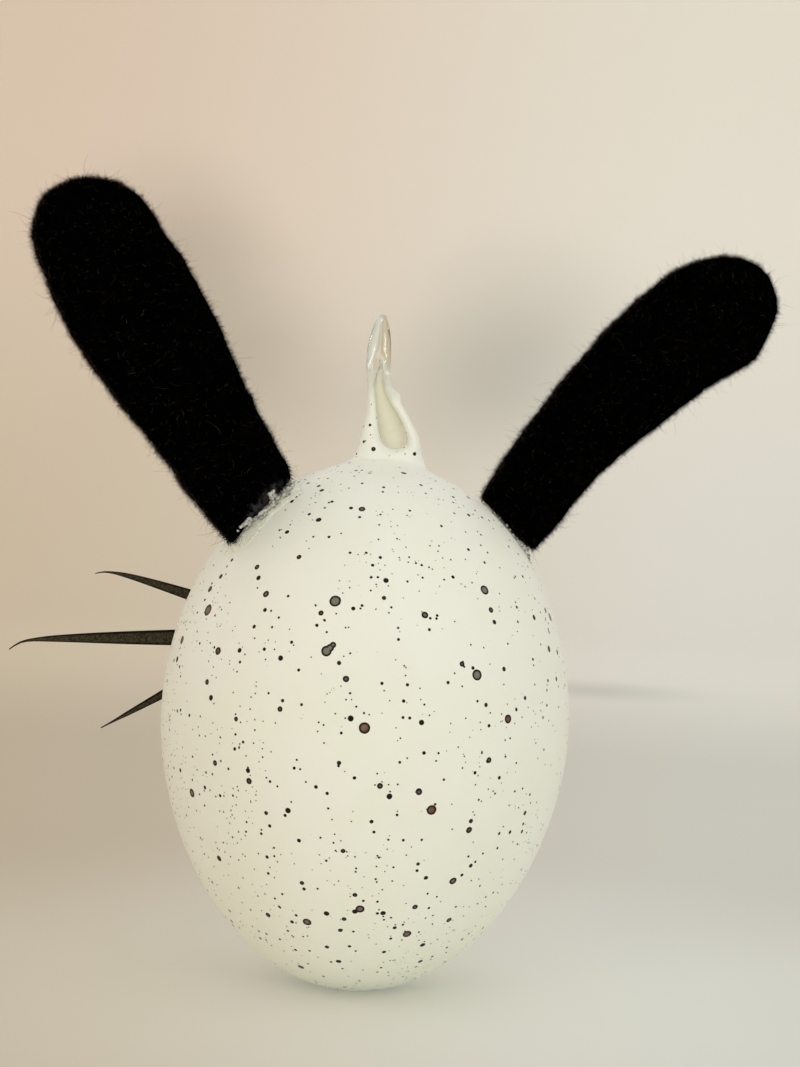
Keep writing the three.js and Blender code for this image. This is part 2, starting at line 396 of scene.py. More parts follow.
def loop_place(index, numbers, is_open, dip):
    """Where a column's vertex goes in one of the loop's rings."""
    z, left, eye_left, eye_right, right = (number * MM for number in numbers)
    deep = glass_half_depth(z)
    front = index if index > COLUMNS // 2 or index == 0 else COLUMNS - index
    front = front or COLUMNS
    side = -1 if index > COLUMNS // 2 else 1
    from_left = front - COLUMNS // 2
    from_right = COLUMNS - front
    step = min(from_left, from_right)
    outer, inner = (left, eye_left) if from_left < from_right else (right, eye_right)
    turn = RIM_TURN * min(step, STRAND_STEPS) / STRAND_STEPS
    x = (outer + inner) / 2 + (outer - inner) / 2 * cos(turn)
    y = deep * sin(turn)
    if step > STRAND_STEPS:
        across = (front - EYE_LEFT_COLUMN) / (EYE_RIGHT_COLUMN - EYE_LEFT_COLUMN)
        x = eye_left + (eye_right - eye_left) * across
        z += dip * abs(sin(pi * across)) ** 0.7
    if not is_open:
        share = (2 * x - left - right) / (right - left)
        y = deep * sqrt(max(0, 1 - share * share))
    return Vector((x, side * y if 0 < step else 0, z))


def foot_place(index, across, deep, lift):
    """A foot ring's vertex, laid on the egg and lifted a little."""
    flat = around(index, across, deep, middle=FOOT_MIDDLE)
    on_egg = WIDEST_Z + ABOVE_WIDEST * (1 - flat.length_squared / EGG_RADIUS ** 2) ** (1 / TOP_POWER)
    return Vector((flat.x, flat.y, on_egg + lift))


for across, deep, lift in FOOT_RINGS:
    add_ring(lambda index: foot_place(index, across * MM, deep * MM, lift * MM))
first_loop_ring = len(rings)
for number, numbers in enumerate(LOOP_ROWS):
    is_open = FIRST_OPEN_ROW <= number <= LAST_OPEN_ROW
    dip = {FIRST_OPEN_ROW: -EYE_BOTTOM_DIP, LAST_OPEN_ROW: EYE_TOP_RISE}.get(number, 0)
    add_ring(lambda index: loop_place(index, numbers, is_open, dip))
bmesh.ops.holes_fill(body, edges=rings[-1], sides=COLUMNS)
print("loop:", len(LOOP_ROWS), "rings up to", LOOP_ROWS[-1][0], "mm")

# %% [markdown]
# The eye is opened as one would by hand: the faces between the strands go away in front and behind,
# the two holes are bridged through the glass, and the middle of that wall is drawn in a little, so
# that the strands are round inside the eye too.

# %% The eye of the loop
WAIST_OF_THE_WALL = 0.93
first_open = first_loop_ring + FIRST_OPEN_ROW
last_open = first_loop_ring + LAST_OPEN_ROW
eye_front = range(EYE_LEFT_COLUMN, EYE_RIGHT_COLUMN + 1)
eye_back = range(COLUMNS - EYE_RIGHT_COLUMN, COLUMNS - EYE_LEFT_COLUMN + 1)


def is_in_eye(face):
    rows_fit = all(first_open <= vertex[row] <= last_open for vertex in face.verts)
    sides_fit = any(all(vertex[column] in side for vertex in face.verts) for side in (eye_front, eye_back))
    return rows_fit and sides_fit


opened = [face for face in body.faces if is_in_eye(face)]
bmesh.ops.delete(body, geom=opened, context="FACES")
rims = [edge for edge in body.edges if edge.is_boundary]
wall = bmesh.ops.bridge_loops(body, edges=rims)
across_wall = [edge for edge in wall["edges"]]
cut = bmesh.ops.subdivide_edges(body, edges=across_wall, cuts=1)
middle = [part for part in cut["geom_inner"] if isinstance(part, bmesh.types.BMVert)]
eye_centre = sum((vertex.co for vertex in middle), Vector()) / len(middle)
about_eye = Matrix.Translation(-eye_centre)
bmesh.ops.scale(body, vec=(WAIST_OF_THE_WALL, 1, WAIST_OF_THE_WALL), space=about_eye, verts=middle)
print("eye:", len(opened), "faces opened,", len(middle), "vertices round the middle of its wall")

# %% Rounding the glass
BODY_TOP_Z = 70 * MM
FLOWS_FROM = 8.5 * MM
FLOWS_TO = 11.0 * MM

egg = make_object("speckled_egg", body)
add_modifier(egg, "SUBSURF", levels=2, render_levels=2)
for vertex in egg.data.vertices:
    out = vertex.co.xy.length
    if vertex.co.z < BODY_TOP_Z:
        share = 1 if vertex.co.z > 0.02 * MM or out > FLAT_RADIUS else 0
    else:
        share = min(1, max(0, (out - FLOWS_FROM) / (FLOWS_TO - FLOWS_FROM)))
    vertex.co = vertex.co.lerp(onto_egg(vertex.co), share)
    vertex.co.z = max(0, vertex.co.z)
print("egg: top at", round(max(vertex.co.z for vertex in egg.data.vertices) / MM, 1), "mm")

# %% [markdown]
# A thin film of the coat has dried across the eye, as it does in a narrow ring that is dipped. The
# photograph shows it as a tone between the coat's and the wall's, with a clearer oval at the bottom.
# A thin closed sheet in the middle of the glass is enough for it, and its edges end in the strands.

# %% The film across the eye
FILM_THICKNESS = 0.10 * MM
FILM_INTO_STRANDS = 0.4
# height, left edge and right edge in millimetres, inside the glass below and above the eye
FILM_BOTTOM = (80.7, 1.4, 3.9)
FILM_TOP = (94.9, -0.6, 0.0)

film_rows = [FILM_BOTTOM]
for z, left, eye_left, eye_right, right in LOOP_ROWS[FIRST_OPEN_ROW:LAST_OPEN_ROW + 1]:
    film_rows.append((z, eye_left - FILM_INTO_STRANDS, eye_right + FILM_INTO_STRANDS))
film_rows.append(FILM_TOP)
film = bmesh.new()
film_edges = []
for z, left, right in film_rows:
    film_edges.append([film.verts.new(Vector((x, 0, z)) * MM) for x in (left, right)])
for low, high in zip(film_edges, film_edges[1:]):
    film.faces.new((low[0], low[1], high[1], high[0]))
thicker = bmesh.ops.extrude_face_region(film, geom=film.faces[:])["geom"]
film_back = [part for part in thicker if isinstance(part, bmesh.types.BMVert)]
bmesh.ops.translate(film, verts=film_back, vec=(0, FILM_THICKNESS, 0))
eye_film = make_object("eye_film", film)
print("film:", len(eye_film.data.polygons), "faces")

# %% [markdown]
# ## Drops of paint
# The speckles were flicked on with a brush, so a few large drops lie among hundreds of fine ones, and they
# gather here and there. They are colour and gloss, with no height worth modelling. The large drops that
# the photograph shows are listed: each one is a pixel and a width, and a ray from the camera finds its
# spot on the glass. The rest come from cells of random points.

# %% Large drops, listed
# x, y and width in the photograph's pixels
# These drops get a grey middle, which is a painted reflection of the room in the glossy drop.
GREY_REFLECTING_DROPS = [
    (335.2, 601, 11.5), (326.5, 651, 10.5), (330, 648, 8), (333, 645, 6.5), (477, 675, 10.8),
    (484.6, 590, 9.8),
]
DROPS = [
    (364.5, 728, 11), (431.6, 810, 10), (425, 615, 7), (346, 679, 6.5), (508, 719, 9), (249, 781, 6.5),
    (419, 792, 6.5), (380, 786, 6), (469, 830, 7), (471, 821, 5), (307, 922, 9), (360, 909, 9),
    (453, 881, 8), (407, 934, 9), (415, 907, 6), (218, 651, 8), (208, 610, 12), (362, 509, 7),
    (351, 508, 4.5), (299, 557, 5.5), (266, 594, 7), (321, 613, 5.5), (489, 760, 6), (424, 753, 4),
    (491, 610, 6), (462, 664, 5.5), (473, 668, 4), (486, 705, 4.5), (504, 669, 5), (384, 598, 4.5),
    (343, 851, 5), (302, 883, 5), (304, 889, 4), (355, 895, 5), (344, 919, 5), (268, 915, 6),
    (292, 922, 4.5), (327, 947, 5), (384, 952, 4.5), (449, 920, 6), (462, 875, 4), (301, 967, 7),
    (280, 709, 5.5), (339, 663, 4.5), (339, 763, 4.5), (316, 787, 4), (266, 813, 4.5), (267, 857, 4),
    (418, 864, 4), (525, 698, 4.5), (525, 813, 5), (215, 763, 6), (192, 793, 9), (287, 532, 5),
    (257, 567, 6), (265, 610, 4.5), (207, 682, 6), (182, 640, 9), (210, 589, 7), (370, 425, 3.4),
    (373.5, 449, 5), (405, 454, 2), (421, 485, 4), (453, 577, 4), (550, 617, 9), (549, 649, 7),
    (236, 719, 5),
]


def sight_line(x, y):
    """The direction in which the camera sees a pixel of the photograph."""
    half = PICTURE / 2
    return (camera_turn @ Vector((x - half.x, half.y - y, -focal_pixels))).normalized()


egg_tree = BVHTree.FromPolygons(
    [vertex.co for vertex in egg.data.vertices],
    [polygon.vertices for polygon in egg.data.polygons],
)


def on_surface(tree, pixels):
    """Places in millimetres and radii for spots that are given as x, y and width in pixels."""
    found = []
    for x, y, width in pixels:
        spot = tree.ray_cast(camera_place, sight_line(x, y))[0]
        if spot is not None:
            found.append((spot / MM, width / 2 / PIXELS_PER_MM))
    print("spots placed by eye:", len(found), "of", len(pixels))
    return found


grey_reflecting_drops = on_surface(egg_tree, GREY_REFLECTING_DROPS)
drops = on_surface(egg_tree, DROPS)

# %% [markdown]
# A layer of fine specks is one Voronoi texture. Each of its cells holds a random point, and the
# surface near that point is painted, out to a random radius. The cell's random colour decides on the
# radius and on whether the speck is there at all, and a slow noise makes them gather. Where the
# surface passes a point at a distance the speck is smaller, so sizes vary as they do in real spatter.

# %% Specks by chance
def specks(place, cells_per_mm, smallest, largest, share, gathering=0.0):
    """How deep inside a speck a place is: 1 at its centre, 0 at its rim and below 0 outside."""
    cells = place.node("TexVoronoi", {}, {"Vector": place, "Scale": cells_per_mm}, "Distance")
    chance = cells.node("SeparateColor", {}, {"Color": cells.also("Color")}, "Red")
    radius = (chance ** 3.0) * (largest - smallest) + smallest
    slow = cells.also("Position").grain(0.07, 1.0)
    wanted = (slow - 0.5) * gathering + share
    missing = wanted.maths("LESS_THAN", wanted, chance.also("Green"))
    return 1 - cells / cells_per_mm / radius - missing * 100


# %% [markdown]
# ## The coated glass
# The coat is a soft warm white with a satin gloss. It thins out at the top of the loop, which was
# held while the egg was dipped, so there the glass is clear. Two shaders are mixed by height for it.
# A large drop dried with a dark rim and a paler middle, and a small one is nearly black. The paler middle
# is partly the paint and partly a painted reflection, as a glossy drop mirrors the room. In the grey
# middles it is all painted reflection.

# %% The egg's finish
EDGE = 0.07
COAT_WHITE = (0.905, 0.91, 0.83, 1)
COAT_THIN = (0.89, 0.90, 0.795, 1)
DROP_RIM = (0.007, 0.004, 0.0015, 1)
DROP_GREY_REFLECTION = (0.20, 0.19, 0.15, 1)
DROP_BROWN_AND_REFLECTION = (0.20, 0.135, 0.11, 1)
DROP_RED_AND_REFLECTION = (0.16, 0.075, 0.06, 1)
FINE_SPECK = (0.012, 0.009, 0.004, 1)
COAT_THINS_FROM = 88.0
COAT_ENDS_AT = 95.5


def within(place, spots):
    """How far a place lies inside the nearest of these spots, in millimetres. It is negative outside."""
    depth = place.node("Value", {}, {}) * 0 - 100
    for centre, radius in spots:
        depth = depth.most(radius - place.vector("DISTANCE", tuple(centre), "Value"))
    return depth


def speckled_glass():
    material, coat, place = begin_finish("speckled_glass")
    wobble = place.grain(0.9, 1.0).also("Color").vector("SUBTRACT", (0.5, 0.5, 0.5))
    loose = place.vector("ADD", wobble.grown(0.08))

    grey_reflection_depth = within(loose, grey_reflecting_drops)
    large = grey_reflection_depth.most(within(loose, drops))
    parts = place.node("SeparateXYZ", {}, {"Vector": place}, "X")
    behind = parts.also("Y").step(-6.0, -1.0)
    large_behind = specks(loose, 0.21, 0.3, 0.95, 0.30) * 0.6 - (1 - behind) * 100
    large = large.most(large_behind)
    medium = specks(loose, 0.50, 0.19, 0.50, 0.58, 1.4)
    fine = specks(loose, 0.95, 0.13, 0.29, 0.50, 1.6)
    finest = specks(loose, 1.5, 0.09, 0.17, 0.08, 1.6)

    large_mask = large.step(0, EDGE)
    small_mask = medium.most(fine).most(finest).step(0, EDGE * 2)
    reddish = place.grain(0.35, 0.0).step(0.57, 0.64)
    # Painted reflection: a large drop's paler middle stands in partly for the room mirrored in it, and the
    # grey one wholly.
    middle = grey_reflection_depth.step(0, EDGE).blend(reddish.blend(DROP_BROWN_AND_REFLECTION, DROP_RED_AND_REFLECTION), DROP_GREY_REFLECTION)
    drop_colour = large.step(0.19, 0.46).blend(DROP_RIM, middle)
    cloudy = place.grain(0.09, 3.0)
    coat_colour = cloudy.step(0.3, 0.7).blend(COAT_WHITE, COAT_THIN)
    speckled = small_mask.blend(coat_colour, FINE_SPECK)
    painted = large_mask.most(small_mask)
    satin = place.grain(2.5, 3.0)
    set_sockets(coat, {
        "Base Color": large_mask.blend(speckled, drop_colour),
        "Roughness": 0.36 + satin * 0.12 - painted * 0.16,
        "Normal": bump(satin, 0.0025, 0.5),
        "Specular IOR Level": 0.2,
    })

    clear = place.node("BsdfPrincipled", {}, {
        "Base Color": (0.93, 0.95, 0.90, 1),
        "Roughness": 0.04,
        "Transmission Weight": 1.0,
        "IOR": 1.5,
    })
    ragged = parts.also("Z") + (place.grain(0.55, 3.0) - 0.5) * 2.5
    bare = ragged.step(COAT_THINS_FROM, COAT_ENDS_AT)
    mixed = place.node("MixShader", {}, {0: bare, 1: Wire(place.tree, coat.outputs[0]), 2: clear})
    output = place.tree.nodes["Material Output"]
    place.tree.links.new(mixed.socket, output.inputs["Surface"])
    return material


FILM_TINT = (0.88, 0.87, 0.69, 1)
OVAL_MIDDLE = (2.5, 0.0, 83.1)
OVAL_HALF_WIDTH = 2.0
OVAL_HALF_HEIGHT = 1.45


def thin_coat():
    material, shader, place = begin_finish("thin_coat")
    from_oval = place.vector("SUBTRACT", OVAL_MIDDLE)
    from_oval = from_oval.vector("DIVIDE", (OVAL_HALF_WIDTH, 1.0, OVAL_HALF_HEIGHT))
    away = from_oval.vector("DISTANCE", (0, 0, 0), "Value")
    height = place.node("SeparateXYZ", {}, {"Vector": place}, "Z")
    set_sockets(shader, {
        "Base Color": FILM_TINT,
        "Roughness": 0.35,
        "Alpha": 0.40 + away.step(0.8, 1.2) * 0.12 - height.step(89.0, 96.0) * 0.35,
    })
    return material


dress(egg, speckled_glass(), "coated_glass", "egg")
dress(eye_film, thin_coat(), "coated_glass")

# %% [markdown]
# ## The felt ears
# Each ear is a tongue cut by hand from thick black craft felt. Its outline is drawn in the ear's own
# plane, as distances from the egg's axis and heights, and the felt is a slab of that outline with
# soft edges. A voxel remesh gives it even faces, and slow noise moves them in and out, because felt
# is never quite flat and scissors never cut quite straight.

# %% Curves through a few points
def curve_through(points, steps):
    """A smooth line through the points, with this many steps between each two."""
    line = []
    ends = [points[0], *points, points[-1]]
    for before, start, end, after in zip(ends, ends[1:], ends[2:], ends[3:]):
        for step in range(steps):
            t = step / steps
            line.append((
                start * 2
                + (end - before) * t
                + (before * 2 - start * 5 + end * 4 - after) * t ** 2
                + (start * 3 - before - end * 3 + after) * t ** 3
            ) / 2)
    return line + [points[-1]]


# %% The outlines of the ears
# From the base's outer corner up the outer edge, round the tip and down to its inner corner
LEFT_EAR = [
    (24.2, 66.2), (31.0, 73.5), (36.9, 80.1), (43.0, 86.8), (48.0, 92.8), (52.1, 99.0), (55.6, 106.9),
    (55.8, 111.0), (53.8, 114.8), (48.0, 117.2), (41.9, 115.9), (37.0, 110.9), (30.0, 101.4),
    (23.2, 89.1), (17.0, 79.7), (15.4, 76.4),
]
RIGHT_EAR = [
    (25.7, 66.9), (28.7, 70.2), (31.8, 74.3), (35.9, 79.2), (44.0, 86.4), (53.8, 93.9), (61.4, 98.8),
    (64.3, 104.6), (64.7, 109.2), (61.6, 113.5), (54.8, 114.6), (47.9, 112.1), (40.5, 106.1),
    (33.7, 98.9), (26.0, 89.0), (19.2, 79.0), (16.9, 74.7),
]
FELT_THICKNESS = 2.3 * MM
FELT_SOFT_EDGE = 0.28 * MM
FELT_VOXEL = 0.3 * MM
NAP_ROOM = 0.15 * MM
LEFT_EAR_TURN = radians(205)
LEFT_EAR_OFFSET = 2.7 * MM
RIGHT_EAR_TURN = radians(17)


def felt_waves(place):
    slow = noise.noise(place / (4.5 * MM))
    quick = noise.noise(place / (1.3 * MM))
    return (slow * 0.30 + quick * 0.16) * MM - NAP_ROOM


def felt_ear(name, outline, turn, offset):
    """A slab of felt in an upright plane through the egg's axis, or beside it by the offset."""
    line = curve_through([Vector(pair) * MM for pair in outline[1:]], 4)
    line.insert(0, Vector(outline[0]) * MM)
    bm = bmesh.new()
    rim = [bm.verts.new((point.x, offset - FELT_THICKNESS / 2, point.y)) for point in line]
    face = bm.faces.new(rim)
    top = bmesh.ops.extrude_face_region(bm, geom=[face])["geom"]
    raised = [part for part in top if isinstance(part, bmesh.types.BMVert)]
    bmesh.ops.translate(bm, verts=raised, vec=(0, FELT_THICKNESS, 0))
    bmesh.ops.recalc_face_normals(bm, faces=bm.faces)
    rims = [edge for edge in bm.edges if edge.calc_face_angle() > radians(60)]
    bmesh.ops.bevel(bm, geom=rims, offset=FELT_SOFT_EDGE, segments=3, profile=0.5, affect="EDGES",
                    material=-1)
    bmesh.ops.rotate(bm, verts=bm.verts, matrix=Matrix.Rotation(turn, 3, "Z"))
    ear = make_object(name, bm)
    add_modifier(ear, "REMESH", mode="VOXEL", voxel_size=FELT_VOXEL)
    swell(ear, felt_waves)
    return ear


left_ear = felt_ear("left_ear_felt", LEFT_EAR, LEFT_EAR_TURN, LEFT_EAR_OFFSET)
right_ear = felt_ear("right_ear_felt", RIGHT_EAR, RIGHT_EAR_TURN, 0)
print("felt slabs:", len(left_ear.data.polygons), "and", len(right_ear.data.polygons), "faces")

# %% [markdown]
# ## Fibres
# Felt is nothing but fibres, and its black face shows little else than its fuzzy edge. Hair
# particles would be lost in an export, so each fibre is a real spike of three sides that bends on
# its way to a point. Thousands are joined in one mesh, worked out with arrays. A kind of fibre is
# given by its range of lengths and its width in millimetres, by the range of its rise off the felt
# and its curl in radians, and by the number of pieces in which it bends.

# %% Fibres as joined spikes
FIBRE_ROOT = 0.12


def along(vectors):
    """The same vectors with a length of 1."""
    return vectors / np.linalg.norm(vectors, axis=1, keepdims=True)


def random_spots(mesh, count, chance, face_axis=None, edge_share=0.0):
    """Places spread over a mesh, with the normals there. Edges beside the face axis can get more."""
    mesh.calc_loop_triangles()
    corners = np.array([vertex.co for vertex in mesh.vertices])
    triangles = np.array([triangle.vertices for triangle in mesh.loop_triangles])
    first, second, third = (corners[triangles[:, corner]] for corner in range(3))
    crossing = np.cross(second - first, third - first)
    area = np.linalg.norm(crossing, axis=1)
    if face_axis is not None:
        area = area * (1 + edge_share * (1 - np.abs(along(crossing) @ np.array(face_axis))))
    picked = chance.choice(len(triangles), count, p=area / area.sum())
    u, v = chance.random((2, count, 1))
    over = u + v > 1
    u, v = np.where(over, 1 - u, u), np.where(over, 1 - v, v)
    spots = first[picked] + u * (second - first)[picked] + v * (third - first)[picked]
    return spots, along(crossing[picked])


def fibre_mesh(spots, normals, kind, chance):
    """Curved spikes of one kind at these spots, sunk a little into what they grow from."""
    length, width, lift, curl, pieces = kind
    count = len(spots)
    flat = along(np.cross(normals, along(chance.normal(size=(count, 3)))))
    rise = chance.uniform(*lift, (count, 1))
    heading = along(flat * np.cos(rise) + normals * np.sin(rise))
    bend = along(np.cross(heading, along(chance.normal(size=(count, 3)))))
    reach = chance.uniform(length[0] * MM, length[1] * MM, (count, 1)) / pieces
    turn = chance.uniform(-curl, curl, (count, 1)) / pieces
    thick = width * MM * chance.uniform(0.7, 1.2, (count, 1))
    place = spots - normals * FIBRE_ROOT * MM
    points = []
    for piece in range(pieces):
        side = along(np.cross(heading, bend + normals * 0.3))
        other = np.cross(heading, side)
        for corner in range(3):
            round_it = tau * corner / 3
            ring = side * cos(round_it) + other * sin(round_it)
            points.append(place + ring * thick / 2 * (1 - 0.6 * piece / pieces))
        place = place + heading * reach
        heading = along(heading + bend * turn)
    points.append(place)
    own = 3 * pieces + 1
    faces = [(0, 2, 1)]
    for piece in range(pieces - 1):
        low = 3 * piece
        for corner in range(3):
            next_corner = (corner + 1) % 3
            faces.append((low + corner, low + next_corner, low + 3 + corner))
            faces.append((low + next_corner, low + 3 + next_corner, low + 3 + corner))
    last = 3 * (pieces - 1)
    faces += [(last + corner, last + (corner + 1) % 3, last + 3) for corner in range(3)]
    corners = np.stack(points, axis=1).reshape(-1, 3)
    all_faces = (np.array(faces)[None] + own * np.arange(count)[:, None, None]).reshape(-1, 3)
    mesh = bpy.data.meshes.new("fibres")
    mesh.from_pydata(corners.tolist(), [], all_faces.tolist())
    shade = mesh.attributes.new("shade", "FLOAT", "POINT")
    shade.data.foreach_set("value", np.repeat(chance.random(count), own))
    return mesh


def joined(name, meshes):
    """One object from several meshes."""
    bm = bmesh.new()
    for mesh in meshes:
        bm.from_mesh(mesh)
    whole = bpy.data.meshes.new(name)
    bm.to_mesh(whole)
    bm.free()
    piece = bpy.data.objects.new(name, whole)
    bpy.context.scene.collection.objects.link(piece)
    return piece


def strewn(name, ground, kinds, chance):
    """Loose fibres on a piece. Each kind has its distance off the ground and its count first."""
    meshes = []
    for off_ground, count, *kind in kinds:
        spots, normals = random_spots(ground.data, count, chance)
        meshes.append(fibre_mesh(spots + normals * off_ground * MM, normals, kind, chance))
    return joined(name, meshes)


# %% [markdown]
# The nap covers the felt evenly. The fuzz is finer and stands mostly at the edges, where the scissors
# cut the fibres free, and a few long ones stray. Below a level just above the egg the felt's own
# fibres lie in the glue, so none are made there.

# %% The nap of the ears
# count, length, width, lift off the felt, curl and pieces of each kind of fibre
NAP = [(18500, (0.5, 1.2), 0.055, (0.2, 1.3), 1.8, 2)]
FUZZ = [
    (12000, (0.4, 1.4), 0.04, (0.3, 1.4), 2.5, 2),
    (1300, (1.2, 3.0), 0.03, (0.1, 1.0), 6.0, 6),
    (90, (2.0, 4.8), 0.035, (0.2, 1.0), 4.0, 8),
]
NAP_EDGE_SHARE = 5.0
FUZZ_EDGE_SHARE = 40.0
ABOVE_GLUE = 1.065


def felt_fibres(name, ear, turn, seed, edge_share, kinds):
    """Fibres of several kinds on one ear, but none where its base sits in the glue."""
    chance = np.random.default_rng(seed)
    face_axis = (-sin(turn), cos(turn), 0)
    meshes = []
    for count, *kind in kinds:
        spots, normals = random_spots(ear.data, count, chance, face_axis, edge_share)
        free = np.array([egg_level(Vector(spot)) > ABOVE_GLUE for spot in spots])
        meshes.append(fibre_mesh(spots[free], normals[free], kind, chance))
    return joined(name, meshes)


left_nap = felt_fibres("left_ear_nap", left_ear, LEFT_EAR_TURN, 11, NAP_EDGE_SHARE, NAP)
right_nap = felt_fibres("right_ear_nap", right_ear, RIGHT_EAR_TURN, 12, NAP_EDGE_SHARE, NAP)
left_fuzz = felt_fibres("left_ear_fuzz", left_ear, LEFT_EAR_TURN, 13, FUZZ_EDGE_SHARE, FUZZ)
right_fuzz = felt_fibres("right_ear_fuzz", right_ear, RIGHT_EAR_TURN, 14, FUZZ_EDGE_SHARE, FUZZ)
for piece in (left_nap, right_nap, left_fuzz, right_fuzz):
    print(piece.name, len(piece.data.polygons), "triangles")

# %% [markdown]
# The felt is as black as it gets, so its material has hardly any colour and no gloss. Its fibres differ a
# little, from pure black to a dark brown, by the random shade that each one was given. That brown is
# partly painted glints, the light that single fibres catch, most of all in the fuzz at the edges. Lint is
# a handful of pale fibres that settled on the felt, as on all black felt. Where glue was smeared over the
# left ear's felt it looks grey, and those places are listed spots again.

# %% The felt's finish
FELT_BLACK = (0.0006, 0.0006, 0.0005, 1)
# The browns are partly painted glints: light that single fibres catch, most of all at the edges.
FELT_BROWN_AND_GLINT = (0.010, 0.0065, 0.005, 1)
FUZZ_GLINT_BROWN = (0.080, 0.056, 0.040, 1)
LINT_DARK = (0.008, 0.007, 0.006, 1)
LINT_GREY = (0.11, 0.105, 0.095, 1)
SMEARED_GREY = (0.055, 0.053, 0.057, 1)
# distance off the felt, count, length, width, lift, curl and pieces: curls first and then flecks
LINT = [
    (0.5, 260, (0.3, 1.4), 0.028, (0.0, 0.35), 4.5, 7),
    (0.6, 240, (0.1, 0.35), 0.05, (0.0, 0.35), 1.0, 2),
]
# x, y and width in the photograph's pixels
SMEARS = [
    (256, 507, 17), (262, 503, 18), (251, 514, 13), (266, 496, 18), (275, 489, 16), (282, 485, 13),
    (244, 520, 9), (287, 481, 9),
]


def tree_of(piece):
    """A search tree over a piece's faces, for rays from the camera."""
    corners = [vertex.co for vertex in piece.data.vertices]
    return BVHTree.FromPolygons(corners, [polygon.vertices for polygon in piece.data.polygons])


left_tree = tree_of(left_ear)
right_tree = tree_of(right_ear)
smears = on_surface(left_tree, SMEARS)


def with_smears(place, colour):
    """The colour, turned grey where glue was smeared on the felt."""
    patchy = place.grain(1.1, 3.0).step(0.36, 0.62)
    smeared = within(place, smears).step(0, 1.1) * patchy
    return smeared.blend(colour, SMEARED_GREY)


def black_felt():
    material, shader, place = begin_finish("black_felt")
    patches = place.grain(0.5, 3.0)
    matted = place.grain(5.0, 4.0, 0.65)
    felt_colour = (patches * matted).step(0.30, 0.55).blend(FELT_BLACK, FELT_BROWN_AND_GLINT)
    set_sockets(shader, {
        "Base Color": with_smears(place, felt_colour),
        "Roughness": 0.92 + matted * 0.06,
        "Normal": bump(matted, 0.35),
        "Specular IOR Level": 0.0,
    })
    return material


def felt_fibre(name, glint_from, brown):
    """The finish of fibres, of which those with a shade above the given one are brown: partly a painted
    glint, the light that single fibres catch.
    """
    material, shader, place = begin_finish(name)
    shade = place.node("Attribute", {"attribute_name": "shade"}, {}, "Fac")
    set_sockets(shader, {
        "Base Color": with_smears(place, shade.step(glint_from, 1.0).blend(FELT_BLACK, brown)),
        "Roughness": 0.7 + shade * 0.2,
        "Specular IOR Level": 0.02,
    })
    return material


def pale_lint():
    material, shader, place = begin_finish("pale_lint")
    shade = place.node("Attribute", {"attribute_name": "shade"}, {}, "Fac")
    set_sockets(shader, {
        "Base Color": (shade ** 3.0).blend(LINT_DARK, LINT_GREY),
        "Roughness": 0.5 + shade * 0.2,
    })
    return material


felt = black_felt()
fibre = felt_fibre("felt_fibre", 0.84, FELT_BROWN_AND_GLINT)
fuzz_fibre = felt_fibre("fuzz_fibre", 0.45, FUZZ_GLINT_BROWN)
lint = pale_lint()
ears = (("left", left_ear, left_nap, left_fuzz), ("right", right_ear, right_nap, right_fuzz))
for number, (side, ear, nap, fuzz) in enumerate(ears):
    chance = np.random.default_rng(34 + number)
    lint_piece = strewn(f"{side}_ear_lint", ear, LINT, chance)
    dress(ear, felt, "black_felt", f"{side}_ear")
    dress(nap, fibre, "black_felt")
    dress(fuzz, fuzz_fibre, "black_felt")
    dress(lint_piece, lint, "black_felt")

# %% [markdown]
# ## Hot glue
# The ears were pressed into beads of hot glue. It ran out on both sides as a thin skirt on the glass,
# and small lumps of it sit along the edge of the felt. The skirt is a sheet that follows the egg and
# grows thinner outwards. The lumps are overlapping balls that a voxel remesh melts into one skin.

# %% Melting balls into a bead
GLUE_VOXEL = 0.11 * MM
CRUMB_SIZE = 0.32 * MM
CRUMB_HEIGHT = 0.11


def melt(name, balls):
    """One skin round many balls, each given by its matrix, and softened where they meet."""
    bm = bmesh.new()
    for matrix in balls:
        bmesh.ops.create_icosphere(bm, subdivisions=2, radius=1, matrix=matrix)
    bead = make_object(name, bm)
    add_modifier(bead, "REMESH", mode="VOXEL", voxel_size=GLUE_VOXEL)
    add_modifier(bead, "SMOOTH", factor=0.6, iterations=3)
    swell(bead, lambda place: noise.noise(place / CRUMB_SIZE) * CRUMB_HEIGHT * MM)
    return bead


def ball(centre, across, along_axis=None, flat=1.0):
    """A ball's matrix, squashed to flat times its width along an axis."""
    turn = Quaternion() if along_axis is None else Vector((0, 0, 1)).rotation_difference(along_axis)
    size = Matrix.Diagonal((across, across, across * flat, 1))
    return Matrix.Translation(centre) @ turn.to_matrix().to_4x4() @ size


def egg_normal(point):
    """The direction straight out of the egg near a point."""
    tiny = 0.01 * MM
    steps = (Vector((tiny, 0, 0)), Vector((0, tiny, 0)), Vector((0, 0, tiny)))
    return Vector([egg_level(point + step) - egg_level(point - step) for step in steps]).normalized()


# %% [markdown]
# The photograph shows how far the skirt reaches from the felt along each ear's base, from the outer corner
# to the inner one. On the hidden side an even width is a fair guess. The lumps of the side in view are
# listed like the drops: a ray finds the felt, the glass or the skirt, or else the ear's plane. Each lump
# stands forward of that, so that the nap doesn't hide it, on a second ball.

# %% Skirts and lumps along the ears
SKIRT_STEPS = 48
SKIRT_COLUMNS = 14
SKIRT_RIM = 0.11
SKIRT_SWELL = 1.05
SKIRT_SUNK = 0.03
SKIRT_RELIEF = 0.05
SKIRT_WAVE = 0.35
SKIRT_FADE = 0.06
LEAST_REACH = 0.1
FAR_REACH = 1.5
FAR_LUMPS = 22
ON_FELT = 1.0 * MM
ON_GLASS = 0.35 * MM
SECOND_BALL = 0.35
